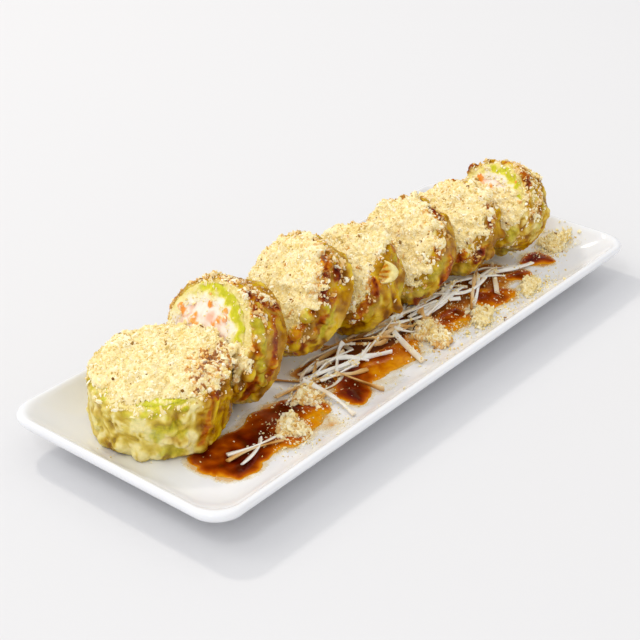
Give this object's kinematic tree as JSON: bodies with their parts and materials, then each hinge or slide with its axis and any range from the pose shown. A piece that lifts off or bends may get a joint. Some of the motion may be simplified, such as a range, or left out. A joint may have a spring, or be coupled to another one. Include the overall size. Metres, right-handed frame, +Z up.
{
  "type": "plate of sushi rolls",
  "caption": "Long white rectangular plate with a leaning row of fried sushi rolls under pale crumbs, beside shredded white radish and dark glossy sauce.",
  "frame": {"origin": "middle of the plate's foot, on the table", "axes": "+X along the plate's length, from the roll that lies flat to the last roll; +Y to the plate's side without sauce; +Z up"},
  "size_m": [0.305, 0.1194, 0.0632],
  "materials": {
    "porcelain": "white glaze, glossy",
    "fried_batter": "fried batter, olive to amber, glossy where sauced",
    "avocado": "soft ripe avocado, satin",
    "crab_filling": "pink and white shredded crab, moist",
    "crumbs": "pale fried crumbs, matt and crisp",
    "daikon": "raw white radish, moist and slightly see-through",
    "sauce": "dark amber glaze sauce, glossy"
  },
  "bodies": {
    "root": {"plate": "porcelain", "roll_1_crust": "fried_batter", "roll_1_avocado": "avocado", "roll_1_filling": "crab_filling", "roll_1_crumbs": "crumbs", "roll_2_crust": "fried_batter", "roll_2_avocado": "avocado", "roll_2_filling": "crab_filling", "roll_2_crumbs": "crumbs", "roll_3_crust": "fried_batter", "roll_3_avocado": "avocado", "roll_3_filling": "crab_filling", "roll_3_crumbs": "crumbs", "roll_4_crust": "fried_batter", "roll_4_avocado": "avocado", "roll_4_filling": "crab_filling", "roll_4_crumbs": "crumbs", "roll_5_crust": "fried_batter", "roll_5_avocado": "avocado", "roll_5_filling": "crab_filling", "roll_5_crumbs": "crumbs", "roll_6_crust": "fried_batter", "roll_6_avocado": "avocado", "roll_6_filling": "crab_filling", "roll_6_crumbs": "crumbs", "roll_7_crust": "fried_batter", "roll_7_avocado": "avocado", "roll_7_filling": "crab_filling", "roll_7_crumbs": "crumbs", "daikon_bed": "daikon", "daikon_near": "daikon", "crumb_heap_1": "crumbs", "crumb_heap_2": "crumbs", "crumb_heap_3": "crumbs", "crumb_heap_4": "crumbs", "crumb_heap_5": "crumbs", "crumb_heap_6": "crumbs", "sauce_1": "sauce", "sauce_2": "sauce", "sauce_3": "sauce", "sauce_4": "sauce", "sauce_5": "sauce", "sauce_6": "sauce"}
  },
  "joints": []
}
